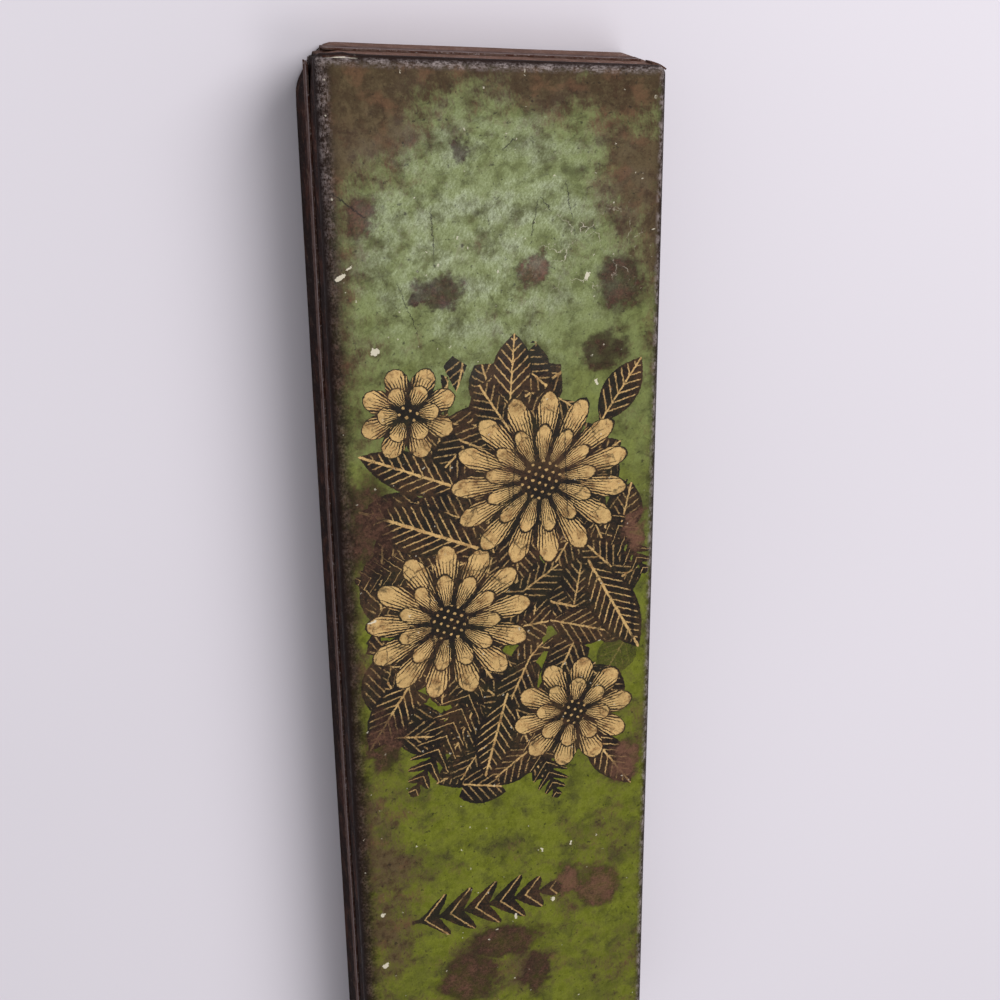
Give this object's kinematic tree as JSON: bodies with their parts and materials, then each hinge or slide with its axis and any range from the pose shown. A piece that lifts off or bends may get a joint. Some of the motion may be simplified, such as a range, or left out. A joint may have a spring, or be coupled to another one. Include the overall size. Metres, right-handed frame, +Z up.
{
  "type": "pencil tin",
  "caption": "Long flat tinplate pencil box: a folded lid with a hemmed skirt, hinged on wire along one long side of a folded base with inner neck strips.",
  "frame": {"origin": "middle of the flat underside of the base", "axes": "+X across the tin towards the hinge, +Y along the tin towards its head end, +Z up out of the lid"},
  "size_m": [0.0592, 0.2066, 0.02],
  "materials": {
    "lid_print": "worn green print on tinplate, rusted along the edges",
    "base_lacquer": "dark brown lacquer, rusted",
    "bare_tin": "dull bare tinplate with rust freckles",
    "hinge_steel": "dull drawn wire"
  },
  "bodies": {
    "base": {"base_tray": "base_lacquer", "front_neck_strip": "bare_tin", "head_neck_strip": "bare_tin", "foot_neck_strip": "bare_tin", "head_hinge_wire": "hinge_steel", "foot_hinge_wire": "hinge_steel"},
    "lid": {"lid_cover": "lid_print"}
  },
  "joints": [
    {"name": "lid_hinge", "type": "hinge", "parent": "base", "child": "lid", "pos_m": [0.02925, 0, 0.0107], "axis": [0, 1, 0], "range_deg": [0, 180]}
  ]
}
